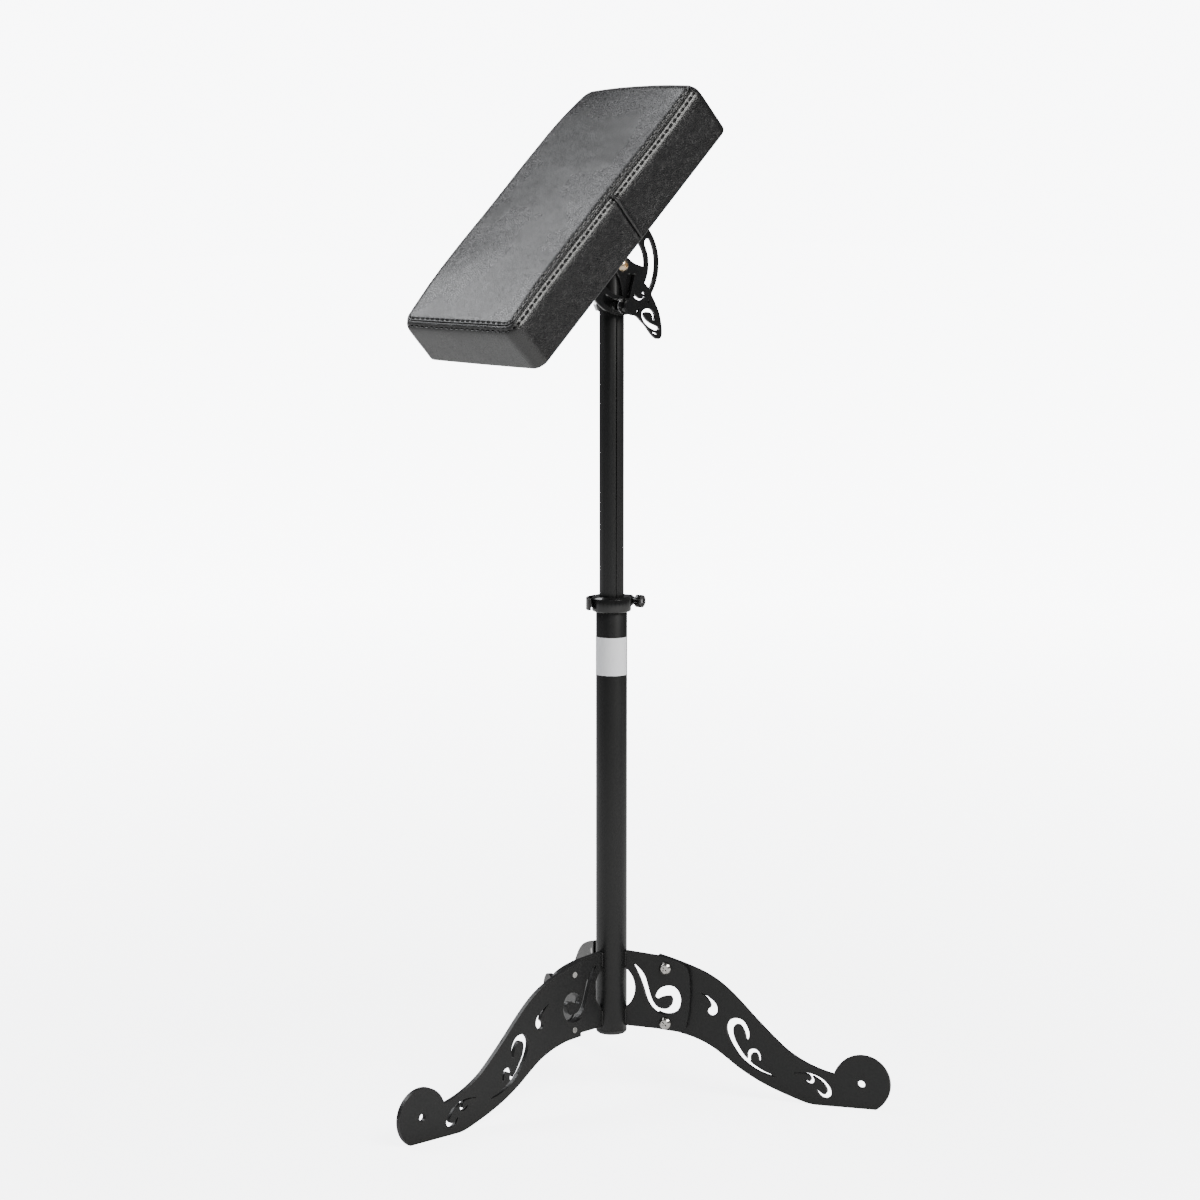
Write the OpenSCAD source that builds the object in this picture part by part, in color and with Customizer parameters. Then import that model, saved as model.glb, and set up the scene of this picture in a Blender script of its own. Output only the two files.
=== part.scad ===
// Tattoo arm rest stand: a padded rest that tilts on a pierced quadrant, a telescopic post
// with a quick release collar, and three flat pierced legs bolted to plates on the post.
// Millimetres. The floor is z = 0 and +Z is up. +X is the way the pad slopes up, and the pad
// tilts about a bolt along Y. The origin is under the middle of the whole stand.

/* [Post] */
// Outside diameter of the lower tube
post_od = 32; // [31:0.5:36]
// Wall of the lower tube
post_wall = 2; // [1.5:0.25:2.25]
// Length of the lower tube
post_len = 449; // [400:1:520]
// Height of the lower tube's bottom end above the floor
post_bottom = 65; // [60:1:66]
// Length of the plain bush in the mouth of the lower tube
guide_len = 38; // [30:1:45]
// Thickness of the rim of the bush, between the tube and the collar's lip
guide_rim = 1.5; // [1:0.25:2]
// Thickness of the head of the plug that closes the tube's bottom end
plug_head = 4; // [3:0.5:6]
// Length of the plug inside the tube
plug_stem = 11; // [8:1:11]

/* [Legs] */
// Distance from the post's axis to the toe of a leg
leg_reach = 294; // [260:2:340]
// Height of a leg at its inner end
leg_top = 146; // [140:1:147]
// Thickness of a leg
leg_t = 5; // [4:0.5:6]
// Radius of the round foot
foot_r = 30; // [27:1:32]
// Height of the hole in the foot
foot_hole_z = 25.5; // [22:0.5:26]
// Diameter of the hole in the foot
foot_hole_d = 8; // [6:0.5:10]
// How far the leg's inner end stands from the post's axis
leg_inner = 50; // [46:1:52]

/* [Hub plates] */
// Distance from the post's axis to the outer edge of a hub plate
hub_reach = 84; // [80:1:88]
// Height of the hub plate's upper edge at the post
hub_top = 150; // [147:1:152]
// Height of the hub plate's lower edge
hub_bottom = 70; // [68:1:72]
// Thickness of a hub plate
hub_t = 5; // [4:0.5:6]
// Radius of the lens cut along the post
lens_r = 26; // [24:0.5:27]

/* [Leg screws] */
// Thread diameter
screw_d = 6; // [5:0.5:6]
// Head diameter
screw_head_d = 12.5; // [10:0.5:13]
// Head height
screw_head_h = 4; // [3.5:0.25:5]
// Distance of the screws from the post's axis
screw_r = 58.5; // [57:0.5:60]
// Distance from the leg's upper edge down to the upper screw
screw_edge = 13; // [11:0.5:14]
// Distance between the two screws of a leg
screw_pitch = 58; // [57:0.5:60]
// Span of the cross recess in a screw head
cross_span = 6; // [5:0.5:7]

/* [Collar clamp] */
// Outside diameter of the collar
collar_od = 40; // [39:0.5:44]
// Height of the collar
collar_h = 15.5; // [14:0.5:18]
// Thickness of the lip over the tube's end
lip_t = 2; // [1.5:0.25:2.5]
// Width of the slit in the collar and in the tube
slit = 2.5; // [2:0.25:3]
// Thickness of each ear
ear_t = 6; // [5:0.5:6.5]
// Distance of the clamp screw from the post's axis
ear_r = 27; // [26.5:0.5:29]
// Direction in which the ears point, about Z
ear_az = 16; // [0:1:30]
// Diameter of the clamp screw
skewer_d = 6; // [5:0.5:6]
// Diameter of the round clamp nut
nut_d = 13; // [12:0.5:15]
// Length of the round clamp nut's head
nut_h = 7; // [6:0.5:9]
// Distance from the slit's middle to the cam pin
cam_y = 14; // [13.5:0.25:15]
// Radius of the cam cheeks
cam_r = 5.2; // [5:0.1:5.4]
// Height of the collar lever
lever_h = 12; // [11:0.5:13]
// Thickness of the collar lever's blade
blade_t = 3.2; // [2.5:0.1:4]

/* [Mast] */
// Outside diameter of the upper tube
mast_od = 25; // [24:0.25:25.5]
// Wall of the upper tube
mast_wall = 2; // [1.5:0.25:2.5]
// Length of the upper tube
mast_len = 551; // [500:5:560]
// Height of the upper tube's lower end above the floor as stored
mast_foot_z = 316; // [310:1:330]
// Length of the sliding bush on the tube's lower end
foot_bush_len = 30; // [20:1:40]

/* [Tilt head] */
// Distance from the upper tube's end down to the pivot
pivot_drop = 14; // [12:0.5:16]
// Distance from the pivot down to the clamp bolt
clamp_drop = 40.5; // [39:0.5:43]
// Diameter of the pivot screw and of the clamp bolt
bolt_d = 8; // [7:0.5:8]
// Outside radius of the quadrant
quad_r = 50; // [48:0.5:54]
// Width of the quadrant's slot
slot_w = 9.5; // [8.6:0.1:10]
// Width of the band inside the slot
band_w = 5; // [4:0.5:6]
// Thickness of the quadrant
quad_t = 3; // [3:0.5:5]
// Distance from the pivot up to the base plate
base_rise = 42.5; // [40:0.5:45]
// Half the angle that the slot covers
slot_half = 79; // [76:1:80]
// Slope of the pad as stored
pad_tilt = 42; // [0:1:70]

/* [Tilt lever] */
// Distance from the clamp bolt to the tip of the leaf, along X
leaf_len = 50.5; // [46:0.5:52]
// Height of the leaf's upper corner above the clamp bolt
leaf_rise = 33; // [30:0.5:34]
// Thickness of the leaf
leaf_t = 3; // [2.5:0.5:4]
// Diameter of the lever's boss
boss_d = 16; // [15:0.5:18]
// Length of the lever's boss
boss_h = 9; // [8:0.5:11]

/* [Pad] */
// Length of the pad
pad_len = 336; // [290:2:360]
// Width of the pad
pad_w = 169; // [150:1:180]
// Thickness of the pad at its edge
pad_t = 60; // [50:1:64]
// Height of the crown in the middle of the pad
pad_crown = 4; // [2:0.5:8]
// Radius of the pad's upright corners
pad_corner = 14; // [12:1:24]
// How far the middle of the pad lies down the slope from the pivot
pad_shift = 20; // [0:1:30]
// How much each end bows out in the middle
end_bow = 4; // [0:0.5:6]
// How much the long sides draw in at half height
side_draw = 2; // [0:0.5:4]
// Thickness of the leather
cover_t = 1.4; // [1:0.1:2]
// Thickness of the plywood board
board_t = 12; // [9:0.5:15]
// Thickness of the cloth under the pad
cloth_t = 0.8; // [0.6:0.1:1.2]
// Length of the base plate
base_len = 120; // [112:1:140]
// Width of the base plate
base_w = 90; // [80:1:110]
// Thickness of the base plate
base_t = 4; // [3:0.5:5]
// Diameter of the board screws
board_screw_d = 5; // [4:0.5:6]
// Distance from the base plate's edge in to the screws
board_screw_edge = 13; // [11:0.5:16]

/* [Hidden] */
$fn = 48;
// Clearances
fit = 0.05;
face_gap = 0.2;
body_gap = 0.3;
// Overrun of cuts
over = 1;
// Number of legs and the direction of each, about Z
leg_turn = 60;
leg_az = [180, -leg_turn, leg_turn];
// The post stands off the origin so that the origin is under the middle of the stand
post_x = leg_reach * (1 - cos(leg_turn)) / 2;
post_r = post_od / 2;
post_in_r = post_r - post_wall;
post_end = post_bottom + post_len;
mast_r = mast_od / 2;
mast_in_r = mast_r - mast_wall;
mast_end = mast_foot_z + mast_len;
pivot_z = mast_end - pivot_drop;
clamp_z = pivot_z - clamp_drop;
foot_x = leg_reach - foot_r;
screw_hi = leg_top - screw_edge;
screw_lo = screw_hi - screw_pitch;
bolt_r = bolt_d / 2;
cross_slot = 1.3;
// Plates of the head, going out along -Y from the upper tube
saddle_r = 9;
saddle_edge = 0.6;
saddle_face = mast_r + saddle_edge;
quad_y = saddle_face + face_gap;
washer_t = 1.6;
washer_r = 8;
washer_y = quad_y + quad_t + face_gap;
boss_y = washer_y + washer_t + face_gap;
leaf_y = boss_y + face_gap;
slot_r = clamp_drop;
band_out = slot_r - slot_w / 2;
band_in = band_out - band_w;
// Heads and nuts
button_r = 7;
button_h = 4.2;
hex_af = 13;
hex_h = 6.5;
hex_socket = 5;
acorn_h = 3;
// Collar levels
collar_top = post_end + guide_rim + lip_t;
collar_z = collar_top - collar_h;
skewer_z = collar_z + collar_h / 2;
ear_out = slit / 2 + ear_t;
ear_round = 6;
nut_neck = 5;
nut_flange = 1.5;
nut_flange_r = 5;
nut_neck_r = 4;
nut_start = ear_out + face_gap;
nut_head = nut_start + nut_flange + nut_neck;
nut_end = nut_head + nut_h;
eye_h = 5.6;
eye_r = 4.4;
pin_d = 4;
shoe_t = 1.1;
chamfer = 1;
// Blade of the collar lever, an arc about the post
blade_in = collar_od / 2 + 3;
blade_from = 52;
blade_to = 146;
cam_at = [ear_r, cam_y];
// Pad levels above the pivot, in the pad's own frame
base_top = base_rise + base_t;
pad_low = base_top + cloth_t;
cover_lap = 14;
foam_gap = 0.1;
board_inset = 6;

// Smooth curve through the rows of p; loop joins its ends
function row(p, i, loop) = loop ? p[(i + len(p)) % len(p)] : p[min(max(i, 0), len(p) - 1)];
function between(a, b, c, d, f) =
    (2 * b + (c - a) * f + (2 * a - 5 * b + 4 * c - d) * f * f + (3 * b - a - 3 * c + d) * f * f * f) / 2;
function smooth(p, steps = 3, loop = false) = concat(
    [for (i = [0:len(p) - (loop ? 1 : 2)], s = [0:steps - 1])
        between(row(p, i - 1, loop), row(p, i, loop), row(p, i + 1, loop), row(p, i + 2, loop), s / steps)],
    loop ? [] : [p[len(p) - 1]]);
// Rows of shares turned into lengths
function sized(p, size) = [for (q = p) [for (k = [0:len(q) - 1]) q[k] * size[k]]];
function unit(v) = v / norm(v);
function side(p, i) = let (a = row(p, i - 1, false), b = row(p, i + 1, false))
    unit([a[1] - b[1], b[0] - a[0]]);

// Scroll: a stroke along rows of [x, y, width], with round ends
cap_steps = 6;
function edge(p, i, turn) = let (n = side(p, i))
    [p[i][0], p[i][1]] + p[i][2] / 2 * (n * cos(turn) + [n[1], -n[0]] * sin(turn));
module scroll(rows) {
    p = smooth(rows);
    m = len(p) - 1;
    polygon(concat([for (i = [0:m]) edge(p, i, 0)], [for (k = [1:cap_steps - 1]) edge(p, m, 180 * k / cap_steps)],
        [for (i = [m:-1:0]) edge(p, i, 180)], [for (k = [1:cap_steps - 1]) edge(p, 0, 180 + 180 * k / cap_steps)]));
}

// Outline drawn in X and Z, made into a plate from y = a to y = b
module plate(a, b) {
    translate([0, b, 0]) rotate([90, 0, 0]) linear_extrude(b - a) children();
}
// Round bar along Y from a to b
module bar(r, a, b) {
    translate([0, b, 0]) rotate([90, 0, 0]) cylinder(r = r, h = b - a);
}
module hex_bar(af, a, b) {
    translate([0, b, 0]) rotate([90, 0, 0]) cylinder(d = af / cos(30), h = b - a, $fn = 6);
}
module ring(r_out, r_in, h) {
    difference() {
        cylinder(r = r_out, h = h);
        translate([0, 0, -over]) cylinder(r = r_in, h = h + 2 * over);
    }
}
module at_post() { translate([post_x, 0, 0]) children(); }
module at_leg(i) { at_post() rotate([0, 0, leg_az[i]]) children(); }
module at_ears() { at_post() rotate([0, 0, ear_az]) children(); }
module at_pivot() { translate([post_x, 0, pivot_z]) children(); }
module at_clamp() { translate([post_x, 0, clamp_z]) children(); }
module on_pad() { at_pivot() rotate([0, -pad_tilt, 0]) children(); }

// Lower tube and what is in it
module slit_cut(r, z, h) {
    rotate([0, 0, ear_az]) translate([0, -slit / 2, z]) cube([r + over, slit, h]);
}
module post_tube() {
    color("#202022") at_post() difference() {
        translate([0, 0, post_bottom]) ring(post_r, post_in_r, post_len);
        slit_cut(post_r, post_end - guide_len, guide_len + over);
    }
}
module post_end_plug() {
    color("#151516") at_post() translate([0, 0, post_bottom]) rotate_extrude()
        polygon([[0, -plug_head], [post_r - plug_head / 2, -plug_head], [post_r - plug_head / 6, -plug_head * 0.7],
            [post_r, -plug_head / 3], [post_r, 0], [post_in_r, 0], [post_in_r, plug_stem], [post_in_r - post_wall, plug_stem],
            [post_in_r - post_wall, 0], [0, 0]]);
}
module post_guide_bush() {
    color("#2b2b2d") at_post() difference() {
        union() {
            translate([0, 0, post_end - guide_len]) cylinder(r = post_in_r, h = guide_len);
            translate([0, 0, post_end]) cylinder(r = post_r - post_wall / 4, h = guide_rim);
        }
        translate([0, 0, post_end - guide_len - over]) cylinder(r = mast_r + fit, h = guide_len + guide_rim + 2 * over);
        slit_cut(post_r, post_end - guide_len - over, guide_len + guide_rim + 2 * over);
    }
}

// Hub plates: [distance, height] and scroll rows [distance, height, width], as shares of reach and top
hub_shares = [[0.6, 0.97], [0.8, 0.945], [0.965, 0.9], [1.003, 0.81], [1.008, 0.7], [0.99, 0.58], [0.955, 0.475]];
hub_foot_shares = [0.87, 0.97];
hub_scroll_shares = [[0.285, 0.905, 0.015], [0.345, 0.865, 0.055], [0.405, 0.81, 0.076], [0.45, 0.735, 0.066],
    [0.497, 0.655, 0.066], [0.57, 0.6, 0.064], [0.67, 0.578, 0.078], [0.765, 0.588, 0.09], [0.828, 0.63, 0.105],
    [0.835, 0.685, 0.115], [0.78, 0.727, 0.135], [0.69, 0.723, 0.125], [0.622, 0.7, 0.09], [0.59, 0.68, 0.055]];
module hub_cuts() {
    scroll(sized(hub_scroll_shares, [hub_reach, hub_top, hub_reach]));
    for (z = [screw_hi, screw_lo]) translate([screw_r, z]) circle(d = screw_d + 2 * fit);
}
module hub_plate(i) {
    color("#1c1c1e") at_leg(i) difference() {
        plate(-hub_t / 2, hub_t / 2) difference() {
            polygon(concat([[0, hub_bottom], [0, hub_top]],
                smooth(sized(hub_shares, [hub_reach, hub_top])), [[hub_reach * hub_foot_shares[0], hub_bottom * hub_foot_shares[1]]]));
            translate([0, (hub_top + hub_bottom) / 2]) circle(r = lens_r);
            hub_cuts();
        }
        cylinder(r = post_r, h = hub_top + over);
    }
}

// Legs: edges as [distance, height], scrolls as [distance, height, width], shares of reach and top
leg_upper_shares = [[0.221, 0.973], [0.276, 0.938], [0.34, 0.889], [0.4, 0.817], [0.46, 0.711],
    [0.52, 0.588], [0.582, 0.468], [0.639, 0.369], [0.7, 0.298], [0.755, 0.255], [0.803, 0.23]];
leg_lower_shares = [[0.735, 0], [0.7, 0.012], [0.643, 0.05], [0.582, 0.096], [0.524, 0.15], [0.463, 0.222],
    [0.415, 0.292], [0.36, 0.366], [0.299, 0.418], [0.241, 0.447]];
leg_inner_share = 0.459;
// Round window of a leg behind the hub plate's scroll: [distance, height, radius]
hub_window_shares = [0.69, 0.655, 0.135];
comma_shares = [[0.323, 0.745, 0.003], [0.34, 0.724, 0.007], [0.357, 0.695, 0.013], [0.369, 0.66, 0.021],
    [0.369, 0.627, 0.029], [0.361, 0.61, 0.03]];
hook_shares = [[0.593, 0.177, 0.002], [0.574, 0.19, 0.007], [0.551, 0.204, 0.009], [0.527, 0.227, 0.012],
    [0.505, 0.254, 0.013], [0.479, 0.298, 0.016], [0.459, 0.35, 0.018], [0.44, 0.413, 0.019],
    [0.43, 0.471, 0.022], [0.429, 0.514, 0.024], [0.437, 0.545, 0.024], [0.452, 0.557, 0.024],
    [0.471, 0.547, 0.021], [0.486, 0.501, 0.018], [0.491, 0.463, 0.015], [0.49, 0.435, 0.008]];
curl_shares = [[0.498, 0.288, 0.012], [0.498, 0.326, 0.013], [0.505, 0.347, 0.015], [0.516, 0.353, 0.016],
    [0.526, 0.346, 0.013], [0.534, 0.321, 0.01], [0.536, 0.287, 0.007]];
toe_shares = [[0.659, 0.218, 0.002], [0.685, 0.223, 0.004], [0.709, 0.221, 0.006], [0.73, 0.21, 0.008],
    [0.751, 0.19, 0.011], [0.769, 0.162, 0.012], [0.782, 0.126, 0.014], [0.785, 0.091, 0.016],
    [0.774, 0.067, 0.016], [0.76, 0.071, 0.013], [0.748, 0.092, 0.009], [0.742, 0.111, 0.004]];
thorn_shares = [[0.712, 0.216, 0.004], [0.722, 0.199, 0.009], [0.726, 0.177, 0.011], [0.72, 0.157, 0.011],
    [0.709, 0.16, 0.009], [0.696, 0.177, 0.004]];
module leg_outline() {
    foot_join = 160;
    foot_flat = -asin(foot_hole_z / foot_r);
    polygon(concat([[leg_inner, leg_top]], smooth(sized(leg_upper_shares, [leg_reach, leg_top])),
        [for (p = arc(foot_r, foot_join, foot_flat, 40)) p + [foot_x, foot_hole_z]],
        smooth(sized(leg_lower_shares, [leg_reach, leg_top])), [[leg_inner, leg_top * leg_inner_share]]));
}
module leg(i) {
    size = [leg_reach, leg_top, leg_reach];
    color("#1c1c1e") at_leg(i) plate(hub_t / 2, hub_t / 2 + leg_t) difference() {
        leg_outline();
        for (rows = [comma_shares, hook_shares, curl_shares, toe_shares, thorn_shares]) scroll(sized(rows, size));
        translate([foot_x, foot_hole_z]) circle(d = foot_hole_d);
        hub_cuts();
        translate([hub_reach * hub_window_shares[0], hub_top * hub_window_shares[1]])
            circle(r = hub_reach * hub_window_shares[2]);
    }
}
module leg_screws() {
    color("#c9cacc") for (i = [0:len(leg_az) - 1], z = [screw_hi, screw_lo])
        at_leg(i) translate([screw_r, 0, z]) difference() {
            union() {
                bar(screw_d / 2, -hub_t / 2 - screw_head_h / 2, hub_t / 2 + leg_t);
                translate([0, -hub_t / 2, 0]) rotate([90, 0, 0]) rotate_extrude() intersection() {
                    square([screw_head_d / 2, screw_head_h]);
                    translate([0, -screw_head_h * 0.6]) circle(r = screw_head_d / 2 + screw_head_h * 0.3);
                }
            }
            for (turn = [-45, 45]) rotate([0, turn, 0])
                translate([-cross_span / 2, -hub_t / 2 - screw_head_h - over, -cross_slot / 2])
                    cube([cross_span, screw_head_h / 2 + over, cross_slot]);
        }
}

// Collar clamp
module collar_blank() {
    translate([0, 0, collar_z]) rotate_extrude() polygon([
        [0, 0], [collar_od / 2 - chamfer, 0], [collar_od / 2, chamfer], [collar_od / 2, collar_h - 2 * chamfer],
        [collar_od / 2 - 2 * chamfer, collar_h], [0, collar_h]]);
}
module ear(s) {
    translate([0, s > 0 ? slit / 2 : -ear_out, skewer_z]) plate(0, ear_t) difference() {
        union() {
            translate([ear_r, 0]) circle(r = ear_round);
            translate([post_r + lip_t / 2, -ear_round]) square([ear_r - post_r - lip_t / 2, 2 * ear_round]);
        }
        translate([ear_r, 0]) circle(d = skewer_d + 2 * fit);
    }
}
module clamp_collar() {
    color("#101012") at_ears() difference() {
        union() {
            collar_blank();
            for (s = [-1, 1]) ear(s);
        }
        translate([0, 0, collar_z - over]) cylinder(r = post_r + fit, h = collar_h - lip_t + over);
        translate([0, 0, collar_z]) cylinder(r = mast_r + body_gap, h = collar_h + over);
        translate([0, -slit / 2, collar_z - over]) cube([ear_r + 2 * ear_round, slit, collar_h + 2 * over]);
    }
}
module clamp_skewer() {
    color("#b8babd") at_ears() translate([ear_r, 0, skewer_z]) difference() {
        union() {
            bar(skewer_d / 2, -nut_end + chamfer, cam_y - pin_d / 2);
            translate([0, cam_y, -eye_h / 2]) cylinder(r = eye_r, h = eye_h);
        }
        translate([0, cam_y, -eye_h]) cylinder(r = pin_d / 2 + fit, h = 2 * eye_h);
    }
}
module cam_shoe() {
    color("#2b2b2d") at_ears() translate([ear_r, 0, skewer_z]) difference() {
        bar(eye_r + shoe_t, ear_out, ear_out + shoe_t);
        bar(skewer_d / 2 + fit, ear_out - over, ear_out + shoe_t + over);
    }
}
module collar_lever() {
    color("#101012") at_ears() translate([0, 0, skewer_z]) difference() {
        union() {
            translate([cam_at[0], cam_at[1], -lever_h / 2]) cylinder(r = cam_r, h = lever_h);
            translate([0, 0, -lever_h / 2]) linear_extrude(lever_h) blade_outline();
        }
        translate([cam_at[0], cam_at[1], -eye_h / 2 - face_gap]) cylinder(r = cam_r + over, h = eye_h + 2 * face_gap);
        translate([cam_at[0], cam_at[1], -lever_h]) cylinder(r = pin_d / 2, h = 2 * lever_h);
    }
}
module blade_outline() {
    steps = 16;
    arc = [for (i = [0:steps]) blade_from + (blade_to - blade_from) * i / steps];
    polygon(concat([for (a = arc) blade_in * [cos(a), sin(a)]],
        [for (i = [steps:-1:0]) (blade_in + blade_t) * [cos(arc[i]), sin(arc[i])]],
        [cam_at + [0, cam_r * 0.98], cam_at - [cam_r * 0.6, cam_r * 0.1]]));
}
module cam_pin() {
    color("#b8babd") at_ears() translate([cam_at[0], cam_at[1], skewer_z - lever_h / 2])
        cylinder(d = pin_d, h = lever_h);
}
module clamp_nut() {
    flutes = 12;
    color("#101012") at_ears() translate([ear_r, 0, skewer_z]) difference() {
        union() {
            bar(nut_flange_r, -nut_start - nut_flange, -nut_start);
            bar(nut_neck_r, -nut_head, -nut_start);
            bar(nut_d / 2, -nut_end, -nut_head);
        }
        bar(skewer_d / 2 + fit, -nut_end - over, -nut_start + over);
        for (k = [1:flutes]) rotate([0, k * 360 / flutes, 0]) translate([nut_d / 2 + chamfer / 2, 0, 0])
            bar(chamfer, -nut_end - over, -nut_head + over);
    }
}

// Upper tube and what is on it
module mast_tube() {
    color("#202022") at_post() difference() {
        translate([0, 0, mast_foot_z]) ring(mast_r, mast_in_r, mast_len);
        for (z = [pivot_z, clamp_z]) translate([0, 0, z]) bar(bolt_r + fit, -mast_od, mast_od);
    }
}
module mast_end_plug() {
    color("#151516") at_post() translate([0, 0, mast_foot_z]) rotate_extrude()
        polygon([[0, -plug_head / 2], [mast_r + chamfer, -plug_head / 2], [mast_r + chamfer, 0], [mast_in_r, 0],
            [mast_in_r, plug_stem], [mast_in_r - mast_wall, plug_stem], [mast_in_r - mast_wall, 0], [0, 0]]);
}
module foot_bush() {
    color("#d8d8d2") at_post() translate([0, 0, mast_foot_z + face_gap])
        ring(post_in_r - fit, mast_r + fit, foot_bush_len);
}
module foot_bush_clip() {
    color("#b8babd") at_post() translate([0, 0, mast_foot_z + foot_bush_len + 2 * face_gap]) difference() {
        ring(mast_r + chamfer, mast_r, chamfer);
        translate([0, -slit, -over]) cube([mast_od, 2 * slit, 3 * over]);
    }
}
module mast_cap() {
    color("#151516") at_post() translate([0, 0, mast_end]) rotate_extrude()
        polygon([[0, -pivot_drop + bolt_r + chamfer], [mast_in_r, -pivot_drop + bolt_r + chamfer], [mast_in_r, 0],
            [mast_r, 0], [mast_r, chamfer], [mast_r - chamfer, 2 * chamfer], [0, 2.5 * chamfer]]);
}

// Tilt head
module head_saddles() {
    color("#1c1c1e") at_post() for (z = [pivot_z, clamp_z], s = [-1, 1]) difference() {
        translate([0, 0, z]) bar(saddle_r, s > 0 ? mast_r / 2 : -saddle_face, s > 0 ? saddle_face : -mast_r / 2);
        translate([0, 0, z - 2 * saddle_r]) cylinder(r = mast_r, h = 4 * saddle_r);
        translate([0, 0, z]) bar(bolt_r + fit, -2 * mast_od, 2 * mast_od);
    }
}
module pivot_screw() {
    head = quad_y + quad_t + face_gap;
    color("#c0a878") at_pivot() difference() {
        union() {
            bar(bolt_r, -head - chamfer, saddle_face + washer_t + hex_h);
            translate([0, -head, 0]) rotate([90, 0, 0]) rotate_extrude() intersection() {
                square([button_r, button_h]);
                translate([0, -button_r + button_h]) circle(r = button_r * 1.06);
            }
        }
        hex_bar(hex_socket, -head - button_h - over, -head - button_h / 3);
    }
}
module pivot_nut() {
    color("#b8babd") at_pivot() difference() {
        union() {
            bar(washer_r, saddle_face, saddle_face + washer_t);
            hex_bar(hex_af, saddle_face + washer_t, saddle_face + washer_t + hex_h);
        }
        bar(bolt_r + fit, saddle_face - over, saddle_face + washer_t + hex_h + over);
    }
}
module clamp_bolt() {
    color("#b8babd") at_clamp() {
        bar(bolt_r, -boss_y - boss_h + acorn_h, saddle_face);
        hex_bar(hex_af, saddle_face, saddle_face + hex_h);
    }
}
module clamp_washer() {
    color("#b8babd") at_clamp() difference() {
        bar(washer_r, -washer_y - washer_t, -washer_y);
        bar(bolt_r + fit, -washer_y - 2 * washer_t, -washer_y + washer_t);
    }
}

// Quadrant, in the pad's frame: arcs about the pivot, with a slot and two windows
function arc(r, a, b, steps = 12) = [for (i = [0:steps]) r * [cos(a + (b - a) * i / steps), sin(a + (b - a) * i / steps)]];
hub_web_shares = [[0.3, 0.12], [0.35, -0.1], [0.43, -0.34], [0.56, -0.56], [0.68, -0.735]];
window_from = -47;
window_to = 14;
module quadrant_outline() {
    slot_a = -90 - slot_half;
    difference() {
        union() {
            intersection() {
                circle(r = quad_r);
                translate([-quad_r, -quad_r]) square([2 * quad_r, quad_r]);
            }
            translate([-quad_r, 0]) square([2 * quad_r, base_rise]);
        }
        polygon(concat(arc(slot_r + slot_w / 2, slot_a, slot_a + 2 * slot_half, 48),
            arc(slot_r - slot_w / 2, slot_a + 2 * slot_half, slot_a, 48)));
        for (s = [-slot_half, slot_half]) rotate(s - 90) translate([slot_r, 0]) circle(d = slot_w);
        for (s = [-1, 1]) scale([s, 1]) polygon(concat(
            smooth([for (q = hub_web_shares) q * band_in]), arc(band_in, window_from, window_to, 8)));
        circle(r = bolt_r + fit);
    }
}
module quadrant_plate() {
    color("#161618") on_pad() plate(-quad_y - quad_t, -quad_y) quadrant_outline();
}
module screw_places() {
    for (x = [-1, 1], y = [-1, 1])
        translate([x * (base_len / 2 - board_screw_edge), y * (base_w / 2 - board_screw_edge), 0]) children();
}
module base_plate() {
    color("#161618") on_pad() translate([0, 0, base_rise]) difference() {
        linear_extrude(base_t) polygon(round_box(base_len / 2, base_w / 2, board_screw_edge, 6, 1));
        screw_places() translate([0, 0, -over]) cylinder(d = board_screw_d + 2 * fit, h = base_t + 2 * over);
    }
}
module board_screws() {
    head_h = board_screw_d / 2;
    color("#b8babd") on_pad() translate([0, 0, base_rise]) screw_places() difference() {
        union() {
            cylinder(d = board_screw_d, h = base_t + cloth_t + cover_t + board_t * 0.8);
            translate([0, 0, -head_h]) cylinder(r1 = board_screw_d * 0.7, r2 = board_screw_d * 0.95, h = head_h);
        }
        translate([0, 0, -head_h - over]) cylinder(d = board_screw_d * 0.6, h = head_h * 0.6 + over, $fn = 6);
    }
}

// Round-cornered box in plan, as points: k steps a corner, m steps a side
function round_box(a, b, r, k, m) = [for (q = [0:3]) each let (
        sx = [1, -1, -1, 1][q], sy = [1, 1, -1, -1][q], c = [sx * (a - r), sy * (b - r)],
        n = (q + 1) % 4, c2 = [[1, -1, -1, 1][n] * (a - r), [1, 1, -1, -1][n] * (b - r)],
        corner = [for (j = [0:k]) c + r * [cos(90 * (q + j / k)), sin(90 * (q + j / k))]],
        last = corner[k], next = c2 + r * [cos(90 * (q + 1)), sin(90 * (q + 1))])
    concat(corner, [for (j = [1:1:m - 1]) last + (next - last) * j / m])];
// The same with bowed ends and drawn-in sides
function cushion_ring(inset, bow, draw, z) = [for (p = round_box(pad_len / 2 - inset, pad_w / 2 - inset,
        max(pad_corner - inset, chamfer), 5, 4))
    [p[0] * (1 + bow / pad_len * 2 * (1 - pow(2 * p[1] / pad_w, 2))),
     p[1] * (1 - draw / pad_w * 2 * (1 - pow(2 * p[0] / pad_len, 2))), z]];
// Loft through rings, closed at both ends by a point in the middle
module loft(rings) {
    n = len(rings[0]);
    m = len(rings);
    pts = concat([for (r = rings, p = r) p], [[0, 0, rings[0][0][2]], [0, 0, rings[m - 1][0][2]]]);
    sides = [for (i = [0:m - 2], j = [0:n - 1]) each let (a = i * n + j, b = i * n + (j + 1) % n)
        [[a, a + n, b], [b, a + n, b + n]]];
    ends = [for (j = [0:n - 1]) each [[j, (j + 1) % n, m * n], [(m - 1) * n + (j + 1) % n, (m - 1) * n + j, m * n + 1]]];
    polyhedron(pts, concat(sides, ends));
}
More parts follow.
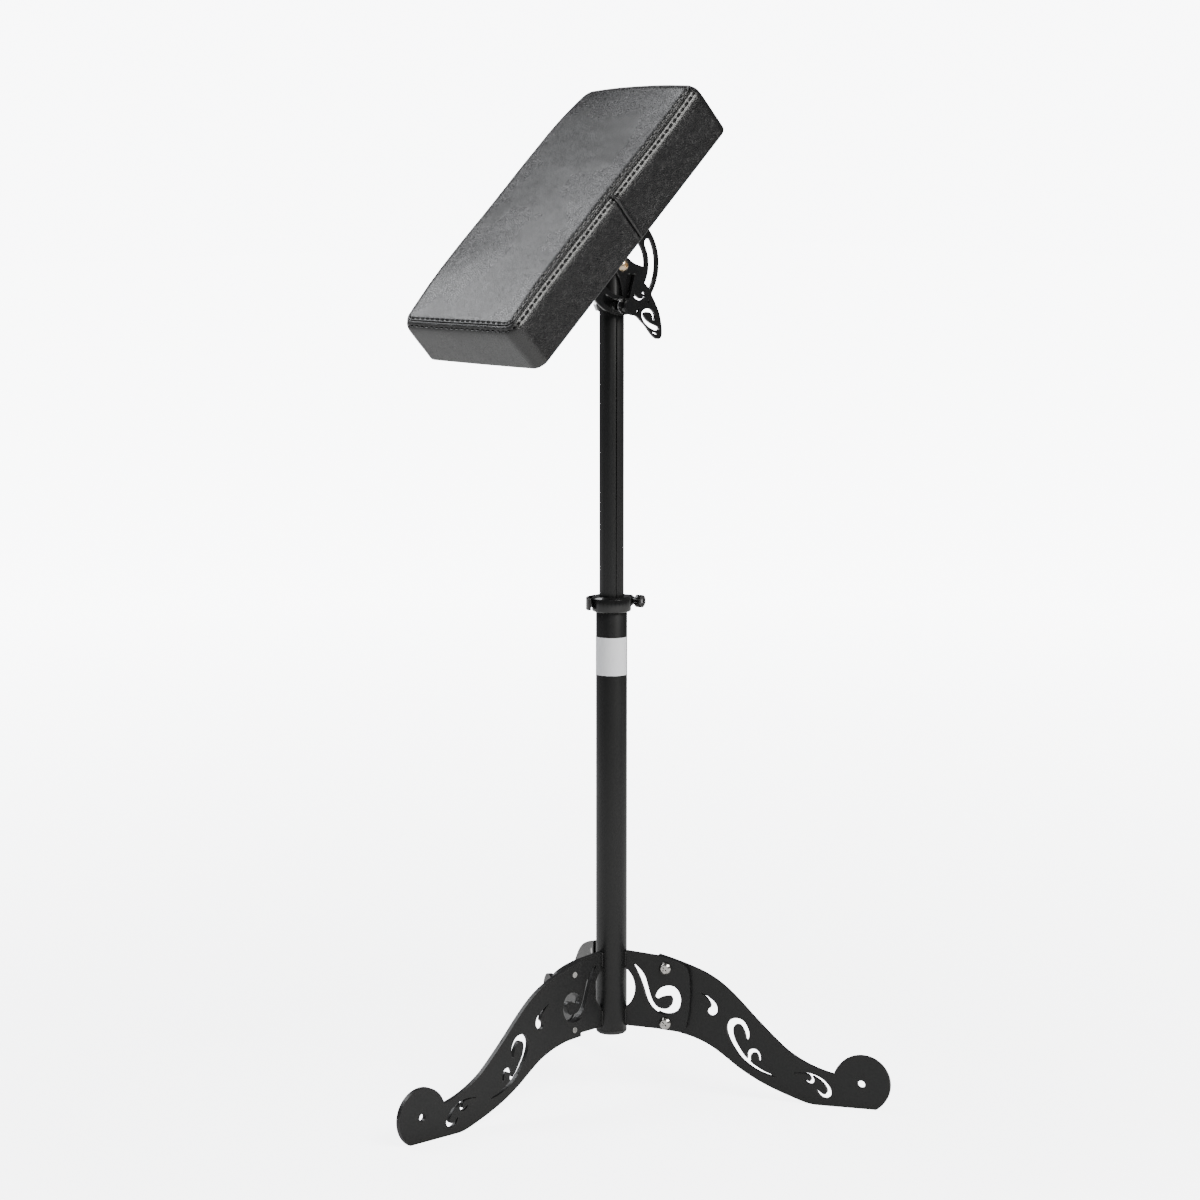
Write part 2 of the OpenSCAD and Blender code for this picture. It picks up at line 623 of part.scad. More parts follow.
// Heights and insets of the cushion's rings, as shares of its thickness, and the rings over its top
side_shares = [[0, 0.03], [0.05, 0], [0.3, 0], [0.5, 0], [0.75, 0], [0.94, 0], [1, 0.03]];
crown_shares = [0.8, 0.55, 0.3, 0.1];
function crown_at(x, y) = pad_crown * (1 - pow(2 * x / pad_len, 2)) * (1 - pow(2 * y / pad_w, 2));
function cushion(skin) = concat(
    [for (s = side_shares) cushion_ring(skin + s[1] * pad_t, end_bow, side_draw * sin(180 * s[0]),
        skin + s[0] * (pad_t - 2 * skin))],
    [for (s = crown_shares) [for (p = cushion_ring(skin, end_bow, 0, 0))
        [s * p[0], s * p[1], pad_t + crown_at(s * p[0], s * p[1]) - skin]]]);
module on_cushion() { on_pad() translate([-pad_shift, 0, pad_low]) children(); }
module pad_cover() {
    color("#2a2a2c") on_cushion() difference() {
        loft(cushion(0));
        loft(cushion(cover_t));
        translate([0, 0, -over]) linear_extrude(cover_t + 2 * over)
            polygon(round_box(pad_len / 2 - cover_lap, pad_w / 2 - cover_lap, pad_corner, 5, 1));
    }
}
module pad_foam() {
    color("#d9cfa8") on_cushion() difference() {
        loft(cushion(cover_t + foam_gap));
        translate([-pad_len, -pad_w, -over]) cube([2 * pad_len, 2 * pad_w, over + cover_t + board_t + foam_gap]);
    }
}
module pad_board() {
    color("#b98f5a") on_cushion() translate([0, 0, cover_t]) difference() {
        linear_extrude(board_t)
            polygon(round_box(pad_len / 2 - board_inset, pad_w / 2 - board_inset, pad_corner - board_inset / 2, 5, 1));
        translate([pad_shift, 0, -over]) screw_places() cylinder(d = board_screw_d + 2 * fit, h = board_t * 0.85 + over);
    }
}
module pad_lining() {
    color("#111112") on_cushion() difference() {
        translate([0, 0, -cloth_t]) linear_extrude(cloth_t)
            polygon(round_box(pad_len / 2 - cover_lap / 2, pad_w / 2 - cover_lap / 2, pad_corner, 5, 1));
        translate([pad_shift, 0, -cloth_t - over]) screw_places()
            cylinder(d = board_screw_d + 2 * fit, h = cloth_t + 2 * over);
    }
}

// Tilt lever: leaf outline [x, z], as shares of its length and rise, and its scrolls [x, z, width]
leaf_shares = [[0.06, 0.1], [0.13, 0.45], [0.2, 0.78], [0.25, 0.97], [0.36, 0.835], [0.48, 0.685], [0.63, 0.475],
    [0.7, 0.285], [0.81, 0.02], [0.9, -0.235], [0.955, -0.51], [0.982, -0.74], [0.982, -0.95], [0.94, -1.05],
    [0.855, -1.07], [0.755, -0.985], [0.66, -0.85], [0.52, -0.62], [0.43, -0.51], [0.32, -0.37], [0.227, -0.302],
    [0.136, -0.29], [0.06, -0.15]];
leaf_spiral_shares = [[0.745, -0.466, 0.06], [0.754, -0.355, 0.075], [0.699, -0.224, 0.07], [0.582, -0.165, 0.07],
    [0.472, -0.209, 0.065], [0.45, -0.32, 0.07], [0.518, -0.481, 0.08], [0.645, -0.623, 0.09], [0.79, -0.717, 0.1],
    [0.87, -0.745, 0.075]];
leaf_slit_shares = [[0.727, -0.86, 0.015], [0.808, -0.893, 0.035], [0.881, -0.955, 0.015]];
leaf_curl_shares = [[0.19, 0.324, 0.05], [0.281, 0.228, 0.055], [0.39, 0.166, 0.03], [0.481, 0.237, 0.05],
    [0.5, 0.326, 0.055], [0.445, 0.375, 0.03]];
leaf_bead_shares = [[0.585, 0.05, 0.04], [0.61, 0.1, 0.055]];
leaf_thorn_shares = [[0.3, -0.22, 0.045], [0.325, -0.17, 0.055], [0.36, -0.1, 0.02]];
module tilt_lever() {
    size = [leaf_len, leaf_rise, leaf_len];
    color("#161618") at_clamp() difference() {
        union() {
            plate(-leaf_y - leaf_t, -leaf_y) difference() {
                polygon(smooth(sized(leaf_shares, size), 3, true));
                for (rows = [leaf_spiral_shares, leaf_slit_shares, leaf_curl_shares, leaf_bead_shares,
                        leaf_thorn_shares]) scroll(sized(rows, size));
            }
            bar(boss_d / 2, -boss_y - boss_h + chamfer, -boss_y);
            bar(boss_d / 2 - chamfer, -boss_y - boss_h, -boss_y);
        }
        bar(bolt_r + fit, -boss_y - boss_h + acorn_h - face_gap, -boss_y + over);
    }
}

post_tube();
post_end_plug();
post_guide_bush();
hub_plate(0);  // hub_plate_left
hub_plate(1);  // hub_plate_right
hub_plate(2);  // hub_plate_back
leg(0);  // leg_left
leg(1);  // leg_right
leg(2);  // leg_back
leg_screws();
clamp_collar();
clamp_skewer();
cam_shoe();
collar_lever();
cam_pin();
clamp_nut();
foot_bush();
mast_tube();
mast_end_plug();
foot_bush_clip();
mast_cap();
head_saddles();
pivot_screw();
pivot_nut();
clamp_bolt();
clamp_washer();
tilt_lever();
quadrant_plate();
base_plate();
board_screws();
pad_board();
pad_foam();
pad_cover();
pad_lining();
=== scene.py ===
# %% [markdown]
# # An arm rest on a tripod stand
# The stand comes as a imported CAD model: tubes, pierced plates, a clamp, a tilt head and a plain
# cushion. Everything rigid keeps its shape and gets a finish. The cushion, its stitches, the
# cloth under it, the staples, the welds and the label are built here: they are soft or small.

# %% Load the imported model
import math

import bmesh
import bpy
import numpy as np
from mathutils import Matrix, Vector, noise


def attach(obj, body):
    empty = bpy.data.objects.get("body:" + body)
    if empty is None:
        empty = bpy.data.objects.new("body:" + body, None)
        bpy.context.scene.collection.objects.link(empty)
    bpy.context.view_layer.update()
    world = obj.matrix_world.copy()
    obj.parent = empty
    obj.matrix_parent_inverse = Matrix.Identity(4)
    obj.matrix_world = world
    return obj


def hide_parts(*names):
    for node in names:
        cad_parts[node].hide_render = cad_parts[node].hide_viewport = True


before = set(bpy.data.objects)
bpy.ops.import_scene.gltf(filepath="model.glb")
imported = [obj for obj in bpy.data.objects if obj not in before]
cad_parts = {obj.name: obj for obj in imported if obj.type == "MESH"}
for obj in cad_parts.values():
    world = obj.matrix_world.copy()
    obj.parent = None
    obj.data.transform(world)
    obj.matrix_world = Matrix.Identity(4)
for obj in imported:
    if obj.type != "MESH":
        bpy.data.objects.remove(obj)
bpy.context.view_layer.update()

# %% [markdown]
# The model is in metres, but a maker of such a stand thinks in millimetres, so the lengths below
# are written in millimetres and multiplied once. Three places recur: the post's axis, the pivot
# of the pad, and the slope at which the pad is stored.

# %% Measures that several pieces share
MM = 0.001
POST_X = 73.5
POST_R = 16.0
PIVOT_Z = 853.0
PAD_SLOPE = math.radians(42.0)
PAD_FRAME = (Matrix.Translation((POST_X * MM, 0, PIVOT_Z * MM))
             @ Matrix.Rotation(-PAD_SLOPE, 4, "Y"))
print("the pad slopes", round(math.degrees(PAD_SLOPE)), "degrees")

# %% [markdown]
# ## Camera
# The photograph was taken from about 3.5 m with a long lens, a little above the pad and looking
# slightly down. A long lens keeps the legs from spreading. The position was fitted to the feet,
# the tubes and the screws, so the camera is placed by numbers and not by eye.

# %% Place the camera
FOCAL_PIXELS, FRAME_PIXELS, SENSOR = 3480.2, 1200.0, 36.0
CAMERA_PLACE = (-2.3430, -2.5320, 1.0373)
HEADING, DIP = math.radians(46.53), 0.1487


def add_camera():
    data = bpy.data.cameras.new("photo_camera")
    camera = bpy.data.objects.new("photo_camera", data)
    bpy.context.scene.collection.objects.link(camera)
    data.sensor_width = SENSOR
    data.lens = FOCAL_PIXELS / FRAME_PIXELS * SENSOR
    data.clip_start, data.clip_end = 0.05, 60.0
    forward = Vector((math.cos(DIP) * math.cos(HEADING), math.cos(DIP) * math.sin(HEADING),
                      -math.sin(DIP)))
    camera.location = CAMERA_PLACE
    camera.rotation_mode = "QUATERNION"
    camera.rotation_quaternion = forward.to_track_quat("-Z", "Y")
    bpy.context.scene.camera = camera
    return camera


camera = add_camera()
print("lens", round(camera.data.lens, 1), "mm")

# %% [markdown]
# ## Floor and light
# The photograph is a studio shot on white paper. Black parts show mostly by what they mirror, so
# the lights matter more than the colours: one wide light behind the left side greys the top of
# the pad, and one above the near long side gives the bright lines on its seam and the
# shadows on the floor. Between them it stays dark, and so does the horizon, so that upright
# black faces stay black. A weak light from the front keeps the near end from going black.

# %% Build the floor and the lights
FLOOR_REACH = 14.0
LIGHTS = [  # name, place, what it points at, size, power, tint
    ("back_left_box", (-1.25, 2.65, 3.3), (0.0, 0.0, 0.9), (2.4, 2.2), 135, (0.97, 0.98, 1.0)),
    ("key_above_seam", (0.1, -3.1, 3.15), (0.05, 0.0, 0.9), (2.6, 1.9), 240, (1.0, 0.99, 0.96)),
    ("front_fill", (-3.4, -2.4, 2.2), (0.0, 0.0, 0.5), (1.6, 1.6), 10, (1.0, 1.0, 1.0)),
]


def add_floor():
    mesh = bpy.data.meshes.new("floor")
    r = FLOOR_REACH
    mesh.from_pydata([(-r, -r, 0), (r, -r, 0), (r, r, 0), (-r, r, 0)], [], [(0, 1, 2, 3)])
    floor = bpy.data.objects.new("floor", mesh)
    bpy.context.scene.collection.objects.link(floor)
    return floor


def add_area_light(name, place, target, size, power, tint):
    data = bpy.data.lights.new(name, "AREA")
    data.shape = "RECTANGLE"
    data.size, data.size_y = size
    data.energy = power
    data.color = tint
    light = bpy.data.objects.new(name, data)
    bpy.context.scene.collection.objects.link(light)
    light.location = place
    light.rotation_mode = "QUATERNION"
    light.rotation_quaternion = (Vector(target) - Vector(place)).to_track_quat("-Z", "Y")


floor = add_floor()
for light in LIGHTS:
    add_area_light(*light)
print("lights:", [light[0] for light in LIGHTS])

# %% [markdown]
# ## Helpers for materials
# A material is a small graph of nodes. These helpers make one node each, and every socket takes
# either a value or another node's output, so that each recipe below stays short.

# %% Make and join nodes
MIX_A, MIX_B, MIX_RESULT = 6, 7, 2  # the colour sockets of the mix node


def feed(tree, socket, value):
    """Put a value into a socket, or link another node's output to it."""
    if isinstance(value, (int, float, tuple)):
        socket.default_value = value
    else:
        tree.links.new(value, socket)


def node(tree, kind, feeds=(), **settings):
    """A new node with its settings made and its sockets fed."""
    made = tree.nodes.new(kind)
    for label, value in settings.items():
        setattr(made, label, value)
    for label, value in dict(feeds).items():
        feed(tree, made.inputs[label], value)
    return made


def math_node(tree, operation, a, b=None):
    feeds = {0: a} if b is None else {0: a, 1: b}
    return node(tree, "ShaderNodeMath", feeds, operation=operation).outputs[0]


def map_range(tree, value, low, high, start=0.0, stop=1.0):
    """The value, stretched from start..stop to low..high."""
    return node(tree, "ShaderNodeMapRange", {
        "Value": value, "From Min": start, "From Max": stop,
        "To Min": low, "To Max": high}).outputs[0]


def mix_colour(tree, factor, a, b):
    """Colour a where factor is 0 and colour b where it is 1."""
    a, b = ((*colour, 1.0) if isinstance(colour, tuple) else colour for colour in (a, b))
    feeds = {"Factor": factor, MIX_A: a, MIX_B: b}
    return node(tree, "ShaderNodeMix", feeds, data_type="RGBA").outputs[MIX_RESULT]


def object_place(tree):
    """Where a point lies on its own piece, so that patterns move with the piece."""
    return node(tree, "ShaderNodeTexCoord").outputs["Object"]


def open_material(name):
    material = bpy.data.materials.new(name)
    material.use_nodes = True
    return material, material.node_tree, material.node_tree.nodes["Principled BSDF"]


def add_bump(tree, shader, height, distance, strength=1.0):
    bump = node(tree, "ShaderNodeBump", {
        "Strength": strength, "Distance": distance, "Height": height})
    feed(tree, shader.inputs["Normal"], bump.outputs[0])


# %% [markdown]
# ## White paper
# White paper that is really white would need so much light that the black paint would turn grey.
# So the camera sees the paper and the room brighter than the object does: Light Path tells
# whether a ray comes straight from the camera, and only then is the extra white added. It grows
# with the distance from the stand, so that the shadows at its feet stay clear.

# %% The room and the paper
PAPER_WHITE, ROOM_GLOW = 9.0, 0.12
PAPER_TINT = (0.97, 0.98, 1.0, 1.0)
FIBRE_SCALE, PAPER_TONES, PAPER_ROUGHNESS = 6.0, (0.84, 0.88), 0.8
WHITE_AT_STAND, WHITE_STARTS, WHITE_ENDS = 5.0, 0.5, 3.5


def camera_only(tree, seen, unseen):
    """A value that is `seen` for rays from the camera and `unseen` for all others."""
    path = node(tree, "ShaderNodeLightPath").outputs["Is Camera Ray"]
    return map_range(tree, path, unseen, seen)


def build_room():
    world = bpy.data.worlds.new("studio")
    bpy.context.scene.world = world
    world.use_nodes = True
    tree = world.node_tree
    background = tree.nodes["Background"]
    feed(tree, background.inputs["Color"], PAPER_TINT)
    feed(tree, background.inputs["Strength"], camera_only(tree, PAPER_WHITE, ROOM_GLOW))


def build_paper():
    paper, tree, shader = open_material("studio_paper")
    fibre = node(tree, "ShaderNodeTexNoise", {"Scale": FIBRE_SCALE}).outputs[0]
    feed(tree, shader.inputs["Base Color"], map_range(tree, fibre, *PAPER_TONES))
    feed(tree, shader.inputs["Roughness"], PAPER_ROUGHNESS)
    away = node(tree, "ShaderNodeVectorMath", {0: object_place(tree)}, operation="LENGTH")
    white = map_range(tree, away.outputs["Value"], WHITE_AT_STAND, PAPER_WHITE,
                      WHITE_STARTS, WHITE_ENDS)
    seen = math_node(tree, "MULTIPLY", white, camera_only(tree, 1.0, 0.0))
    feed(tree, shader.inputs["Emission Strength"], seen)
    feed(tree, shader.inputs["Emission Color"], PAPER_TINT)
    return paper


build_room()
floor.data.materials.append(build_paper())
print("paper:", floor.data.materials[0].name)

# %% [markdown]
# ## Shared effects
# Three effects turn up on several finishes, so each is a node group that is made once: a fine
# pebble that powder paint and moulded plastic have, the paler rub along edges, and the blotches
# of handling that change how shiny a surface is. Each material sets its own sizes and amounts.

# %% Open and place node groups
def open_group(name, inputs, outputs):
    group = bpy.data.node_groups.new(name, "ShaderNodeTree")
    for label, value in inputs.items():
        socket = group.interface.new_socket(label, in_out="INPUT", socket_type="NodeSocketFloat")
        socket.default_value = value
    for label in outputs:
        group.interface.new_socket(label, in_out="OUTPUT", socket_type="NodeSocketFloat")
    entry, leave = group.nodes.new("NodeGroupInput"), group.nodes.new("NodeGroupOutput")
    return group, entry.outputs, leave.inputs


def place_group(tree, group, **amounts):
    """A shared effect in a material, with that material's own amounts."""
    feeds = {label.title(): value for label, value in amounts.items()}
    return node(tree, "ShaderNodeGroup", feeds, node_tree=group)


# %% [markdown]
# The pebble adds a smooth noise to rounded cells, which gives the low bumps of powder paint.

# %% Fine pebble
def build_pebble():
    group, entry, leave = open_group("pebble", {"Scale": 900.0, "Blend": 0.5}, ["Height"])
    place = object_place(group)
    coarse = node(group, "ShaderNodeTexNoise", {
        "Vector": place, "Scale": entry["Scale"], "Detail": 2.0})
    cells = node(group, "ShaderNodeTexVoronoi", {"Vector": place, "Scale": entry["Scale"]},
                 feature="SMOOTH_F1")
    part = math_node(group, "MULTIPLY", cells.outputs["Distance"], entry["Blend"])
    feed(group, leave["Height"], math_node(group, "ADD", coarse.outputs[0], part))
    return group


PEBBLE = build_pebble()

# %% [markdown]
# A bevel node bends the normal near an edge only. How far it differs from the true normal says
# how close the edge is, and a noise breaks that line up, since paint never wears evenly.

# %% Rub along edges
def build_edge_rub():
    group, entry, leave = open_group(
        "edge_rub", {"Radius": 0.0008, "Amount": 1.0, "Scale": 160.0}, ["Mask"])
    bent = node(group, "ShaderNodeBevel", {"Radius": entry["Radius"]}, samples=4)
    flat = node(group, "ShaderNodeNewGeometry").outputs["Normal"]
    dot = node(group, "ShaderNodeVectorMath", {0: bent.outputs[0], 1: flat},
               operation="DOT_PRODUCT")
    turned = math_node(group, "SUBTRACT", 1.0, dot.outputs["Value"])
    broken = node(group, "ShaderNodeTexNoise", {
        "Vector": object_place(group), "Scale": entry["Scale"], "Detail": 3.0})
    mask = math_node(group, "MULTIPLY", turned, broken.outputs[0])
    scaled = math_node(group, "MULTIPLY", mask, entry["Amount"])
    feed(group, leave["Mask"], math_node(group, "MINIMUM", scaled, 1.0))
    return group


EDGE_RUB = build_edge_rub()

# %% [markdown]
# Hands and cloths leave large, faint patches. One noise gives both the roughness between two
# limits and the mask that other values can follow.

# %% Handling marks
def build_handling():
    group, entry, leave = open_group(
        "handling", {"Scale": 14.0, "Low": 0.3, "High": 0.5}, ["Roughness", "Mask"])
    blotch = node(group, "ShaderNodeTexNoise", {
        "Vector": object_place(group), "Scale": entry["Scale"], "Detail": 4.0})
    rough = map_range(group, blotch.outputs[0], entry["Low"], entry["High"], 0.3, 0.7)
    feed(group, leave["Roughness"], rough)
    feed(group, leave["Mask"], blotch.outputs[0])
    return group


HANDLING = build_handling()
print("shared effects:", [g.name for g in bpy.data.node_groups])

# %% [markdown]
# ## Paint, plate and plastic
# All hard finishes follow one recipe: a colour that pales along its edges, a roughness that
# wanders a little, and a small bump. Only the numbers differ between the satin powder paint of
# the tubes, the glossy enamel of the clamps, the bright screws and the plastic plugs.

# %% The recipe for hard finishes
RUB, COAT_ROUGHNESS = 2.0, 0.08


def hard_finish(name, colour, rubbed, rough, pebble, depth, metallic=0.0, coat=0.0, specular=0.5):
    """Colours of the faces and of the edges, range of the roughness, pebbles, their depth in mm."""
    material, tree, shader = open_material(name)
    worn = place_group(tree, EDGE_RUB, amount=RUB).outputs["Mask"]
    blotch = place_group(tree, HANDLING, low=rough[0], high=rough[1])
    grain = place_group(tree, PEBBLE, scale=pebble)
    feed(tree, shader.inputs["Base Color"], mix_colour(tree, worn, colour, rubbed))
    feed(tree, shader.inputs["Roughness"], blotch.outputs["Roughness"])
    shader.inputs["Metallic"].default_value = metallic
    shader.inputs["Coat Weight"].default_value = coat
    shader.inputs["Coat Roughness"].default_value = COAT_ROUGHNESS
    shader.inputs["Specular IOR Level"].default_value = specular
    add_bump(tree, shader, grain.outputs["Height"], depth * MM)
    return material


powder_paint = hard_finish(
    "satin_powder_paint", (0.0065, 0.0065, 0.0068), (0.05, 0.05, 0.052), (0.36, 0.44),
    pebble=1500, depth=0.05, specular=0.38)
enamel = hard_finish(
    "gloss_enamel", (0.006, 0.006, 0.0063), (0.05, 0.05, 0.052), (0.16, 0.26),
    pebble=700, depth=0.02, coat=0.3, specular=0.4)
chrome = hard_finish(
    "bright_chrome", (0.5, 0.49, 0.47), (0.62, 0.61, 0.59), (0.14, 0.24),
    pebble=500, depth=0.01, metallic=1.0)
zinc = hard_finish(
    "zinc_plate", (0.6, 0.6, 0.61), (0.75, 0.75, 0.76), (0.26, 0.4),
    pebble=900, depth=0.02, metallic=1.0)
yellow_steel = hard_finish(
    "yellow_passivated_steel", (0.6, 0.47, 0.33), (0.75, 0.66, 0.52), (0.2, 0.32),
    pebble=900, depth=0.02, metallic=1.0)
plug_plastic = hard_finish(
    "black_moulding", (0.02, 0.02, 0.021), (0.05, 0.05, 0.05), (0.42, 0.55),
    pebble=1200, depth=0.05)
bearing_plastic = hard_finish(
    "bearing_moulding", (0.72, 0.71, 0.67), (0.8, 0.79, 0.76), (0.4, 0.5),
    pebble=1200, depth=0.03)
print("materials so far:", len(bpy.data.materials))

# %% [markdown]
# ## Leather
# Coated leather has small flat cells with fine valleys between them, longer soft creases where
# it has been bent, and a satin shine. The cells are a Voronoi pattern and the creases a folded
# noise. Both mostly change height and shine, since the colour of black leather barely varies.
# The valleys are also painted a little darker: that is painted shade in the grain.

# %% The leather
CELL_SCALE, VALLEY_WIDTH = 620.0, 0.14
BEND_SCALE, BEND_REACH = 90.0, 0.004
CREASE_SCALE, CREASE_STEEP, CREASE_HEIGHT = 38.0, 9.0, 0.7
LEATHER_DARK, LEATHER_PALE = (0.004, 0.004, 0.0043), (0.007, 0.007, 0.0076)
# the darker colour of the valleys is painted shade; their dullness is roughness
LEATHER_VALLEY_SHADE, VALLEY_DULLNESS = (0.002, 0.002, 0.0022), 0.1
LEATHER_SPECULAR, GRAIN_DEPTH, GRAIN_STRENGTH = 0.72, 0.1, 0.9


def build_leather():
    material, tree, shader = open_material("black_leather")
    place = object_place(tree)
    bend = node(tree, "ShaderNodeTexNoise", {
        "Vector": place, "Scale": BEND_SCALE, "Detail": 2.0})
    warp = node(tree, "ShaderNodeVectorMath", {0: bend.outputs["Color"], "Scale": BEND_REACH},
                operation="SCALE")
    moved = node(tree, "ShaderNodeVectorMath", {0: place, 1: warp.outputs[0]},
                 operation="ADD").outputs[0]
    cells = node(tree, "ShaderNodeTexVoronoi", {"Vector": moved, "Scale": CELL_SCALE},
                 feature="DISTANCE_TO_EDGE")
    plateau = map_range(tree, cells.outputs["Distance"], 0.0, 1.0, stop=VALLEY_WIDTH)
    crease = node(tree, "ShaderNodeTexNoise", {
        "Vector": moved, "Scale": CREASE_SCALE, "Detail": 6.0})
    ridged = math_node(tree, "ABSOLUTE", math_node(tree, "SUBTRACT", crease.outputs[0], 0.5))
    steep = math_node(tree, "MULTIPLY", ridged, CREASE_STEEP)
    folds = math_node(tree, "MINIMUM", steep, 1.0)
    raised = math_node(tree, "MULTIPLY", folds, CREASE_HEIGHT)
    height = math_node(tree, "ADD", plateau, raised)
    blotch = place_group(tree, HANDLING, scale=9.0, low=0.22, high=0.3)
    valley = math_node(tree, "SUBTRACT", 1.0, plateau)
    duller = math_node(tree, "MULTIPLY", valley, VALLEY_DULLNESS)
    rough = math_node(tree, "ADD", blotch.outputs["Roughness"], duller)
    feed(tree, shader.inputs["Roughness"], rough)
    tone = mix_colour(tree, blotch.outputs["Mask"], LEATHER_DARK, LEATHER_PALE)
    # the grain's valleys get a darker colour: painted shade
    feed(tree, shader.inputs["Base Color"], mix_colour(tree, valley, tone, LEATHER_VALLEY_SHADE))
    shader.inputs["Specular IOR Level"].default_value = LEATHER_SPECULAR
    add_bump(tree, shader, height, GRAIN_DEPTH * MM, GRAIN_STRENGTH)
    return material


leather = build_leather()
print("leather:", len(leather.node_tree.nodes), "nodes")

# %% [markdown]
# The thread, the cloth under the pad, the plywood and the label are simple, but none is one flat
# colour: thread is twisted, cloth has fibres and wood has long grain. The foil's pale and dark
# patches are a painted sheen.

# %% Small finishes
def simple_finish(name, dark, pale, scale, rough, depth, stretch=(1.0, 1.0, 1.0), twist=None):
    """A noise, or bands with a twist, moves colour, roughness and height; depth in mm."""
    material, tree, shader = open_material(name)
    sized = node(tree, "ShaderNodeMapping", {"Vector": object_place(tree), "Scale": stretch})
    feeds = {"Vector": sized.outputs[0], "Scale": scale}
    if twist is None:
        pattern = node(tree, "ShaderNodeTexNoise", {**feeds, "Detail": 5.0})
    else:
        pattern = node(tree, "ShaderNodeTexWave", {**feeds, "Distortion": twist},
                       wave_type="BANDS")
    factor = pattern.outputs["Fac"]
    feed(tree, shader.inputs["Base Color"], mix_colour(tree, factor, dark, pale))
    feed(tree, shader.inputs["Roughness"], map_range(tree, factor, *rough))
    add_bump(tree, shader, factor, depth * MM)
    return material


thread = simple_finish("waxed_thread", (0.006, 0.006, 0.006), (0.02, 0.02, 0.02), 900,
                       (0.4, 0.5), 0.08, stretch=(1.0, 3.0, 1.0), twist=3.0)
lining_cloth = simple_finish("nonwoven_cloth", (0.006, 0.006, 0.006), (0.022, 0.022, 0.023), 900,
                             (0.8, 0.95), 0.15)
plywood = simple_finish("plywood", (0.36, 0.22, 0.11), (0.6, 0.43, 0.25), 60,
                        (0.5, 0.7), 0.08, stretch=(1.0, 8.0, 8.0))
# the foil's pale and dark patches are a painted sheen
label_foil = simple_finish("label_foil", (0.72, 0.73, 0.76), (0.8, 0.81, 0.84), 25,
                           (0.3, 0.42), 0.01)
print("materials:", len(bpy.data.materials))

# %% [markdown]
# ## Dressing the CAD pieces
# A real plate is never knife sharp: its edges are broken before painting, and that narrow round
# is what catches the light. So each hard piece gets a bevel, set by angle so that only true edges
# are rounded. Welding first joins the faces that the file format keeps apart.

# %% Give every hard piece its finish
JOIN_GAP, EDGE_ANGLE, EDGE_STEPS = 0.002, math.radians(35), 2
FINISHES = [  # material, width of the broken edge in mm, pieces
    (powder_paint, 0.45, [
        "post_tube", "hub_plate_left", "hub_plate_right", "hub_plate_back", "leg_left",
        "leg_right", "leg_back", "mast_tube"]),
    (enamel, 0.35, [
        "clamp_collar", "collar_lever", "clamp_nut", "head_saddles", "tilt_lever",
        "quadrant_plate", "base_plate"]),
    (chrome, 0.15, ["leg_screws"]),
    (zinc, 0.15, [
        "clamp_skewer", "cam_pin", "foot_bush_clip", "pivot_nut", "clamp_bolt", "clamp_washer",
        "board_screws"]),
    (yellow_steel, 0.15, ["pivot_screw"]),
    (plug_plastic, 0.3, [
        "post_end_plug", "post_guide_bush", "cam_shoe", "mast_end_plug", "mast_cap"]),
    (bearing_plastic, 0.3, ["foot_bush"]),
    (plywood, 0.5, ["pad_board"]),
]


def dress(name, material, round_mm):
    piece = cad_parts[name]
    piece.data.materials.clear()
    piece.data.materials.append(material)
    for face in piece.data.polygons:
        face.material_index = 0
    join = piece.modifiers.new("join", "WELD")
    join.merge_threshold = JOIN_GAP * MM
    edge = piece.modifiers.new("broken_edge", "BEVEL")
    edge.width = round_mm * MM
    edge.segments = EDGE_STEPS
    edge.limit_method = "ANGLE"
    edge.angle_limit = EDGE_ANGLE
    edge.harden_normals = True


for material, round_mm, names in FINISHES:
    for name in names:
        dress(name, material, round_mm)
print("dressed", sum(len(names) for *_, names in FINISHES), "CAD pieces")

# %% [markdown]
# ## The cushion
# The pad is a board with foam, wrapped in leather. A top panel is sewn to a strip that runs
# round the sides. The seam lies on the rounded edge, with a row of stitches on each side
# of it, and the strip's two ends meet in an upright seam half way along. To draw all of that, the
# skin is a function: how far round the outline, how far from the seam, and out comes a point.

# %% Sizes of the cushion and its seams
LENGTH, WIDTH, THICK = 341.0, 169.0, 60.0
CROWN = 4.0  # the middle of the top stands higher
CORNER, LOW_CORNER, TIGHTEST = 15.0, 12.5, 3.0  # radii seen from above: widest, low, smallest
END_BOW, END_LEAN, SIDE_DRAW = 0.5, 3.0, 1.0  # ends bulge, the near end leans, sides draw in
CUSHION_PLACE = Vector((-19.0, 0.0, 47.3))
HALF_STRAIGHT = (LENGTH / 2 - CORNER, WIDTH / 2 - CORNER)
SPINE_REACH = HALF_STRAIGHT[0] - HALF_STRAIGHT[1]
ROUND = 4 * (HALF_STRAIGHT[0] + HALF_STRAIGHT[1]) + 2 * math.pi * CORNER
STITCHES = 132
PITCH = ROUND / STITCHES
ROW_ABOVE, ROW_BELOW = -2.5, 5.3
SIDE_SEAM_AT = 8.5
SIDE_SEAM_S = (3 * HALF_STRAIGHT[1] + 3 * HALF_STRAIGHT[0] + 3 * math.pi * CORNER / 2
               + SIDE_SEAM_AT)
print("outline", round(ROUND), "mm, stitch pitch", round(PITCH, 2), "mm, upright seam at",
      round(SIDE_SEAM_S), "mm")

# %% [markdown]
# Seen in a cut across its edge, the leather tilts more and more: flat on top, rolling over through
# both rows of stitches, upright down the side, and turned in underneath. A table of distance from
# the seam and tilt says all of that, and adding up small steps along it gives the shape.

# %% The cut across the edge
LOW_EDGE, TUCK, SPREAD = 3.0, 17.0, 40.0
ROLL_TABLE = [(-20.0, 0.0), (-7.1, 0.0), (7.5, 68.0), (17.0, 90.0)]
CUT_STEPS = 4000


